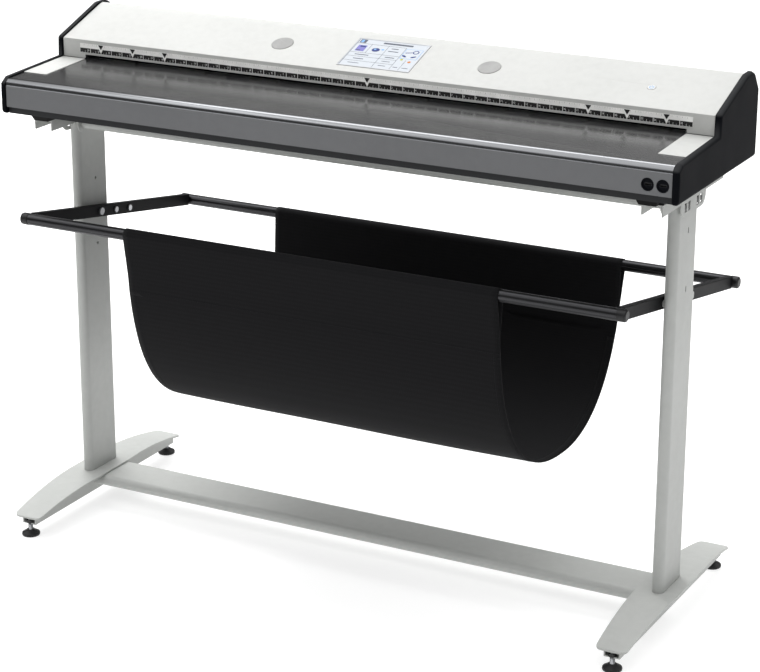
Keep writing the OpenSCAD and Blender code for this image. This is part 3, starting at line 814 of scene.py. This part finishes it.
# %% [markdown]
# ## The touch screen's picture
# The screen shows a plain menu: a header, a row of tiles with pictures on them, and rows
# below. The patches are thin plates on the sloping face of the cover. Words are left out,
# and grey bars stand where they would be.

# %% Menu on the screen
slope = radians(19)
fold = Vector((0, low_corner("top_cover").y, 0.9878))
slope_frame = Matrix.Translation(fold) @ Matrix.Rotation(slope, 4, "X")
screen_lift = 0.3 * mm
menu = {}


def on_screen(finish, outline, lift=0.05, thick=0.04):
    """A patch, in millimetres: x to the right and s up the slope from the fold."""
    mesh = menu.setdefault(finish.name, (bmesh.new(), finish))[0]
    points = [(x * mm, s * mm) for x, s in outline]
    low, high = screen_lift + lift * mm, screen_lift + (lift + thick) * mm
    add_plate(mesh, points, low, high, slope_frame)


for s in (104.0, 71.0, 57.0, 41.0):
    on_screen(screen_line, rectangle(-74, 34, s - 0.4, s + 0.4))
upright_lines = ((-74, 24, 119), (-41, 71, 104), (-4, 24, 104), (34, 24, 104), (53, 24, 62))
for x, s_low, s_high in upright_lines:
    on_screen(screen_line, rectangle(x - 0.4, x + 0.4, s_low, s_high))
on_screen(screen_grey, rectangle(-71, -57, 106, 119))
on_screen(screen_sky, rectangle(-69, -63, 108, 117), 0.1)
on_screen(screen_grey, rectangle(-20, 44, 110, 115.5))
on_screen(screen_lavender, rectangle(-67, -48, 76, 98))
on_screen(screen_blue, rectangle(-62, -50, 91, 96), 0.1)
on_screen(screen_grey, rectangle(-65, -56, 78, 81), 0.1)
on_screen(screen_blue, disc(-25, 86, 8.5, squash=0.8))
on_screen(screen_sky, disc(-11, 89, 3.2, squash=0.7), 0.1)
on_screen(screen_sky, disc(-27, 88, 2.6), 0.1)
for x0, x1, s in ((5, 20, 96), (2, 24, 86), (6, 26, 64), (-60, -30, 64), (-56, -34, 49)):
    on_screen(screen_grey, rectangle(x0, x1, s - 1.3, s + 1.3), 0.02)
for x0, x1, s in ((6, 24, 49), (6, 22, 33), (-60, -36, 33), (38, 48, 33), (57, 70, 33)):
    on_screen(screen_grey, rectangle(x0, x1, s - 0.9, s + 0.9), 0.02)
on_screen(screen_sky, rectangle(36, 72, 66, 102), 0.02)
on_screen(screen_white, rectangle(37, 71, 67, 101), 0.07)
ring_out, ring_in = disc(60, 92, 6.4), disc(60, 92, 4.2)
for i in range(len(ring_out)):
    j = (i + 1) % len(ring_out)
    on_screen(screen_blue, [ring_in[i], ring_in[j], ring_out[j], ring_out[i]][::-1], 0.12)
on_screen(screen_blue, [(39, 88), (40, 85.5), (54, 89.5), (54, 91.5)], 0.12)
for x, turn in ((42, 2.6), (62, 0.5)):
    on_screen(screen_blue, disc(x, 75, 6.0, squash=0.42, turn=turn), 0.12)
on_screen(screen_yellow, disc(43, 62, 3.6, count=5), 0.1)
on_screen(screen_orange, disc(62, 56, 3.4), 0.1)
for label, (mesh, finish) in menu.items():
    solid(label.replace("screen", "menu"), mesh, finish, "top_cover")
print("patches of colour on the screen:", len(menu))

# %% [markdown]
# ## The power mark
# A push button at the right-hand end of the cover wakes the machine. It carries the usual
# open ring with a bar in the gap.

# %% Power mark
power = bmesh.new()
power_x, power_s = 553.6, 68.0
mark_outer, mark_inner, gap, steps = 4.6, 3.3, radians(35), 28
mark_shapes = []
for i in range(steps):
    a, b = [pi / 2 + gap + (2 * pi - 2 * gap) * (i + k) / steps for k in (0, 1)]
    corners = ((mark_outer, a), (mark_outer, b), (mark_inner, b), (mark_inner, a))
    mark_shapes.append([(power_x + r * cos(t), power_s + r * sin(t)) for r, t in corners])
mark_shapes.append(rectangle(power_x - 0.6, power_x + 0.6, power_s + 0.8, power_s + 5.2))
for shape in mark_shapes:
    add_plate(power, [(x * mm, s * mm) for x, s in shape], 0.4 * mm, 0.46 * mm, slope_frame)
power_mark = solid("power_mark", power, screen_sky, "power_button")
print("power mark faces:", len(power_mark.data.polygons))

# %% [markdown]
# ## Grooved rails
# The rails that carry the sling are drawn aluminium tubes with shallow grooves along them,
# which show as thin bright and dark lines. The profile is a circle with a groove every
# 30 degrees. It is carried along X between two rings of points, and a bore keeps it a tube.

# %% Rails
basket_pivot = Vector((0, -0.0459, 0.6336))
basket_slope = radians(-10)
basket_frame = Matrix.Translation(basket_pivot) @ Matrix.Rotation(basket_slope, 4, "X")
rail_half = 0.627
rail_r = 11.5 * mm
front_reach, rear_reach = -0.238, 0.353


def rail_profile(radius, groove, grooves=12, fine=12):
    """Points round a grooved tube."""
    ring = []
    for i in range(grooves * fine):
        share = (i % fine) / fine
        depth = groove if share < 0.25 else 0.0
        a = 2 * pi * i / (grooves * fine)
        ring.append(((radius - depth) * cos(a), (radius - depth) * sin(a)))
    return ring


def add_tube(mesh, y, outer, inner):
    """A tube along X at distance y along the basket's arms."""
    out_left, out_right, in_left, in_right = [
        [mesh.verts.new(basket_frame @ Vector((x, y + a, b))) for a, b in profile]
        for profile in (outer, inner)
        for x in (-rail_half, rail_half)
    ]
    join_rings(mesh, [out_left, out_right, in_right, in_left, out_left])


rails = bmesh.new()
grooved = rail_profile(rail_r, 0.6 * mm)
bore = rail_profile(9.3 * mm, 0.0)
for reach_y in (front_reach, rear_reach):
    add_tube(rails, reach_y, grooved, bore)
basket_rails = solid("grooved_rails", rails, rail_metal, "catch_basket")
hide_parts("basket_rails")

# %% [markdown]
# ## Basket arms
# Each arm is a rectangular tube that ends against the two rails. It starts as a plain
# block, and a Bevel modifier rounds its long edges as a drawn tube's are.

# %% Arms between the rails
arm_outer = high_corner("basket_arms").x
arm_width, arm_half_height = 14 * mm, 12 * mm
arm_gap = 10.2 * mm
arm_ends = (front_reach + arm_gap, rear_reach - arm_gap)
arms = bmesh.new()
for side in (-1, 1):
    x0, x1 = sorted((side * arm_outer, side * (arm_outer - arm_width)))
    outline = rectangle(x0, x1, *arm_ends)
    add_plate(arms, outline, -arm_half_height, arm_half_height, basket_frame)
arm_tubes = solid("arm_tubes", arms, arm_black, "catch_basket")
arm_edge = arm_tubes.modifiers.new("rounding", "BEVEL")
arm_edge.width = 1.2 * mm
arm_edge.segments = 3
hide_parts("basket_arms")

# %% [markdown]
# ### End plugs
# A round plastic plug closes each rail's end, just past the arm. It is a turned shape:
# rings of points whose radius falls away at the end, which gives its soft nose.

# %% Plugs in the rails' ends
# How far out from the rail's end, and the radius there, in mm.
plug_section = [(0, 9.0), (0, 11.0), (1, 11.0), (1.2, 12.0), (14, 12.0), (16.5, 11.0), (18, 8.5)]
plugs = bmesh.new()
for side in (-1, 1):
    for reach_y in (front_reach, rear_reach):
        rings = []
        for out, radius in plug_section:
            x = side * (rail_half + out * mm)
            ring = [(reach_y + y, z) for y, z in disc(0, 0, radius * mm, 40)]
            rings.append([plugs.verts.new(basket_frame @ Vector((x, y, z))) for y, z in ring])
        join_rings(plugs, rings)
        plugs.faces.new(rings[0])
        plugs.faces.new(rings[-1])
rail_plugs = solid("rail_plugs", plugs, cap_black, "catch_basket")
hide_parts("arm_caps")
print("plugs end at x in mm:", round(rail_half / mm + plug_section[-1][0], 1))

# %% [markdown]
# ## The sling
# One length of cloth makes the basket. It goes round the front rail, is sewn to itself
# below it, hangs in a deep U, and ends in the same kind of sleeve on the rear rail. Hanging
# cloth that is loaded only by its own weight takes a smooth curve, so the side view is
# drawn first as a path of points, and the path is then carried across the width. That
# gives full control of the length, which simulation wouldn't.

# %% The sling's path, seen from the side
def bezier(a, b, c, d, count):
    """Points on a cubic curve, without its last point."""
    points = []
    for i in range(count):
        t = i / count
        points.append(
            a * (1 - t) ** 3 + 3 * b * t * (1 - t) ** 2 + 3 * c * t**2 * (1 - t) + d * t**3
        )
    return points


def inwards(points, gap):
    """The path moved to its left-hand side by gap."""
    moved = []
    for i, point in enumerate(points):
        way = points[min(i + 1, len(points) - 1)] - points[max(i - 1, 0)]
        way.normalize()
        moved.append(point + gap * Vector((-way.y, way.x)))
    return moved


def side_point(y, z=0.0):
    """Where a point of the basket's own frame lies in (y, z)."""
    place = basket_frame @ Vector((0, y, z))
    return Vector((place.y, place.z))


rail_front, rail_rear = side_point(front_reach), side_point(rear_reach)
lowest = Vector((0.0357, 0.264))
start = rail_front + Vector((-0.0015, -0.0117))
finish_at = rail_rear + Vector((0.0015, -0.0117))
hang = bezier(start, start + Vector((-0.003, -0.208)), lowest - Vector((0.262, 0)), lowest, 60)
hang += bezier(
    lowest, lowest + Vector((0.046, 0)), finish_at - Vector((0.033, 0.291)), finish_at, 60
)
hang.append(finish_at)
hang = inwards(hang, 0.8 * mm)
print("points in the hanging part:", len(hang))

# %% [markdown]
# ### Sleeves round the rails
# The cloth leaves the hanging part a little below the rail, goes up and over it, comes
# back down on the inside and is sewn to itself. The loop is an arc that touches both
# sides, so the tangents from those two points to the circle give its ends.

# %% The sleeves
def tangent(point, centre, radius, side):
    """Where the line from point touches a circle, on the given side."""
    out = point - centre
    away = out.length
    turn = side * np.arccos(radius / away)
    cut = Vector(
        (out.x * cos(turn) - out.y * sin(turn), out.x * sin(turn) + out.y * cos(turn))
    )
    return centre + cut * (radius / away)


def sleeve(outer_join, inner_join, centre, radius, outer_side, count=22):
    """The loop round a rail, from the inner join over the rail to the outer join."""
    first = tangent(inner_join, centre, radius, -outer_side) - centre
    last = tangent(outer_join, centre, radius, outer_side) - centre
    a = np.arctan2(first.y, first.x)
    b = np.arctan2(last.y, last.x)
    while outer_side < 0 and b < a:
        b += 2 * pi
    while outer_side > 0 and b > a:
        b -= 2 * pi
    return [
        centre + radius * Vector((cos(a + (b - a) * i / count), sin(a + (b - a) * i / count)))
        for i in range(count + 1)
    ]


sleeve_r = rail_r + 1.0 * mm
# Counted in points of the path from each rail: the seam, and the end of the flap.
join, flap = 7, 11
inner = inwards(hang, 1.25 * mm)
front_loop = sleeve(hang[join], inner[join], rail_front, sleeve_r, -1)
rear_loop = sleeve(hang[-join - 1], inner[-join - 1], rail_rear, sleeve_r, 1)
cloth_path = (
    inner[flap:join - 1:-1]
    + front_loop
    + hang[join:-join]
    + rear_loop[::-1]
    + inner[-join - 1:-flap - 1:-1]
)
cloth_length = sum((b - a).length for a, b in zip(cloth_path, cloth_path[1:]))
print("points in the path:", len(cloth_path), " cloth length:", round(cloth_length, 4))

# %% [markdown]
# ## Weaving the cloth across
# The path becomes a sheet when it is repeated at each step across the width. A little
# unevenness is added to the hanging part: slow waves a millimetre or so deep, which
# fade out at the rails where the cloth is held. It takes the stiffness out of the shape.
# A Solidify modifier gives the sheet its thickness.

# %% The sheet
sling_half = high_corner("sling").x
columns = 64
cloth_thick = 1.1 * mm
held_within, fade_over = 0.05, 0.15
rng = np.random.default_rng(7)
wave_turns = rng.uniform(0, 2 * pi, 4)


def hang_share(i):
    """0 at the rails and 1 in the free part of the path."""
    point = cloth_path[i]
    near = min((point - rail_front).length, (point - rail_rear).length)
    return float(np.clip((near - held_within) / fade_over, 0, 1))


def ripple(x, i):
    """How far the cloth stands inwards from its path, in metres."""
    along = i / len(cloth_path)
    slow = sin(5.2 * x + wave_turns[0]) * sin(7.0 * along + wave_turns[1])
    quick = 0.4 * sin(14.0 * x + 9 * along + wave_turns[2])
    edge = (abs(x) / sling_half) ** 8
    return hang_share(i) * (0.9 * slow + 0.9 * quick + 1.0 * edge + 0.6) * mm


def path_normal(i):
    """The direction at a right angle to the path, towards the inside of the basket."""
    way = cloth_path[min(i + 1, len(cloth_path) - 1)] - cloth_path[max(i - 1, 0)]
    way.normalize()
    return Vector((-way.y, way.x))


def cloth_place(x, i, off=0.0):
    """A point of the cloth: x across, i along the path, and off inwards from its middle."""
    place = cloth_path[i] + path_normal(i) * (ripple(x, i) + off)
    return Vector((x, place.x, place.y))


def add_cloth(mesh, across, along, off=0.0):
    """A sheet of faces over every x in across and every path point in along."""
    grid = [[mesh.verts.new(cloth_place(x, i, off)) for i in along] for x in across]
    for left, right in zip(grid, grid[1:]):
        for a, b, c, d in zip(left, left[1:], right[1:], right):
            mesh.faces.new((a, b, c, d))


def thicken(piece, thickness):
    """Gives a sheet its thickness, half to each side."""
    thick = piece.modifiers.new("thickness", "SOLIDIFY")
    thick.thickness = thickness
    thick.offset = 0


sheet = bmesh.new()
across = [-sling_half + 2 * sling_half * k / columns for k in range(columns + 1)]
add_cloth(sheet, across, range(len(cloth_path)))
sling = solid("sling_cloth", sheet, sling_black, "catch_basket", smooth=True)
thicken(sling, cloth_thick)
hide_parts("sling")
print("faces in the sheet:", len(sling.data.polygons))

# %% [markdown]
# ## Hems
# Each open edge of the cloth is folded over and sewn, which shows as a slightly thicker
# band. The hem is a narrow second layer on the inside, from sleeve to sleeve.

# %% Hems
hem_width, hem_thick = 16 * mm, 0.9 * mm
# The path's free part starts past the first flap and sleeve and ends before the last.
free_from = flap - join + 26
free_to = len(cloth_path) - (free_from + 1)
hem = bmesh.new()
for side in (-1, 1):
    across = [side * (sling_half - hem_width * k / 2) for k in (0, 1, 2)]
    add_cloth(hem, across, range(free_from, free_to), cloth_thick)
sling_hems = solid("sling_hems", hem, sling_black, "catch_basket", smooth=True)
thicken(sling_hems, hem_thick)
print("hem width in mm:", round(hem_width / mm))

# %% [markdown]
# ## Stitches
# A line of stitches holds each hem, and the same thread holds the sleeves shut below the
# rails. Every stitch is a short, six-sided thread, 3 mm long, lying just proud of the
# cloth and bowed in the middle.

# %% Stitches
def add_stitch(mesh, a, b, out, radius=0.35 * mm):
    """A short thread from a to b, bowed outwards along out."""
    way = (b - a).normalized()
    side = way.cross(out).normalized()
    rings = []
    for share, bow, size in ((0, -0.4, 0.4), (0.25, 0.3, 1), (0.75, 0.3, 1), (1, -0.4, 0.4)):
        centre = a.lerp(b, share) + out * bow * radius
        rings.append(
            [
                mesh.verts.new(centre + (side * cos(t) + out * sin(t)) * radius * size)
                for t in (pi * k / 3 for k in range(6))
            ]
        )
    join_rings(mesh, rings)
    mesh.faces.new(rings[0][::-1])
    mesh.faces.new(rings[-1])


def outwards(i):
    """The direction away from the inside of the basket, at a point of the path."""
    inward = path_normal(i)
    return Vector((0, -inward.x, -inward.y))


seams = bmesh.new()
outside = -(cloth_thick / 2 + 0.1 * mm)
stitch_step = 4.2 * mm
for side in (-1, 1):
    x = side * (sling_half - hem_width + 3 * mm)
    for i in range(free_from, free_to - 1):
        a, b = cloth_place(x, i, outside), cloth_place(x, i + 1, outside)
        pieces_here = max(1, round((b - a).length / stitch_step))
        for k in range(pieces_here):
            first = a.lerp(b, (k + 0.15) / pieces_here)
            second = a.lerp(b, (k + 0.85) / pieces_here)
            add_stitch(seams, first, second, outwards(i))
stitch_count = 190
for i in (free_from + 1, free_to - 2):
    for k in range(stitch_count):
        x0 = -sling_half + 2 * sling_half * (k + 0.12) / stitch_count
        x1 = -sling_half + 2 * sling_half * (k + 0.88) / stitch_count
        add_stitch(
            seams, cloth_place(x0, i, outside), cloth_place(x1, i, outside), outwards(i)
        )
sling_stitches = solid(
    "sling_stitches", seams, thread_black, "catch_basket", smooth=True
)
print("stitch faces:", len(sling_stitches.data.polygons))

# %% [markdown]
# ## Levelling feet
# Each foot is a moulded pad on a threaded stud. A turned shape like this is drawn as half
# of its outline and spun round its axis. The thread is drawn as fine rings, which look the
# same as a true spiral at this pitch. A ribbed rim gives fingers a grip.

# %% Levelling feet
def spin(mesh, outline, centre, count=48, ribs=0, rib_depth=0.0, rib_range=(0, 0)):
    """A closed turned shape from (radius, height) points."""
    rings = []
    for radius, height in outline:
        ring = []
        for k in range(count):
            a = 2 * pi * k / count
            r = radius
            if ribs and rib_range[0] <= height <= rib_range[1]:
                r -= rib_depth * (0.5 + 0.5 * cos(a * ribs))
            ring.append(mesh.verts.new(centre + Vector((r * cos(a), r * sin(a), height))))
        rings.append(ring)
    join_rings(mesh, rings)
    mesh.faces.new(rings[0][::-1])
    mesh.faces.new(rings[-1])


pad_r, stud_r = 18.75 * mm, 5 * mm
pad_outline = [
    (pad_r - 2.2 * mm, 0.0),
    (pad_r - 1.2 * mm, 0.0),
    (pad_r, 1.2 * mm),
    (pad_r, 4.6 * mm),
    (pad_r - 0.8 * mm, 5.8 * mm),
    (pad_r - 2.6 * mm, 6.8 * mm),
    (9.6 * mm, 10.6 * mm),
    (8.6 * mm, 12.0 * mm),
    (stud_r + 0.5 * mm, 12.2 * mm),
]
thread_outline = []
thread_depth, thread_pitch = 0.6, 1.25
height, stud_top = 11.0, 35.5
while height < stud_top:
    thread_outline += [
        (stud_r - thread_depth * mm, height * mm),
        (stud_r, (height + thread_depth) * mm),
    ]
    height += thread_pitch
for name in ("levelling_foot_fl", "levelling_foot_fr", "levelling_foot_rl", "levelling_foot_rr"):
    low, high = low_corner(name), high_corner(name)
    centre = Vector(((low.x + high.x) / 2, (low.y + high.y) / 2, 0))
    pad = bmesh.new()
    spin(pad, pad_outline, centre, 96, 24, 0.5 * mm, (1.0 * mm, 5.0 * mm))
    pad_piece = solid(name + "_pad", pad, cap_black, name)
    stud = bmesh.new()
    spin(stud, thread_outline, centre, 32)
    solid(name + "_stud", stud, plated_steel, name)
    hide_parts(name)
print("levelling feet: 4, pad diameter in mm:", round(2 * pad_r / mm, 1))

# %% [markdown]
# ## Inside the sockets
# A socket is a thin metal shell with a plastic tongue. Both are small, but they are what
# the eye looks for in a dark slot.

# %% Socket shells
shells, tongues = bmesh.new(), bmesh.new()
socket_front = low_corner("usb_sockets").y
# Here u is along X, v is along Z and height goes back into the machine.
socket_z = 0.904
for x in (0.6558, 0.6841):
    into = Matrix(((1, 0, 0, x), (0, 0, 1, socket_front), (0, 1, 0, socket_z), (0, 0, 0, 1)))
    for u0, u1, v0, v1 in (
        (-6.4, 6.4, 2.1, 2.4),
        (-6.4, 6.4, -2.4, -2.1),
        (-6.4, -6.1, -2.1, 2.1),
        (6.1, 6.4, -2.1, 2.1),
    ):
        outline = rectangle(u0 * mm, u1 * mm, v0 * mm, v1 * mm)
        add_plate(shells, outline, 3.2 * mm, 7.4 * mm, into)
    add_plate(tongues, rectangle(-5 * mm, 5 * mm, 0.4 * mm, 1.4 * mm), 3.6 * mm, 7.4 * mm, into)
solid("socket_shells", shells, rail_metal, "scanner_and_stand")
solid("socket_tongues", tongues, print_black, "scanner_and_stand")
print("sockets fitted out: 2")
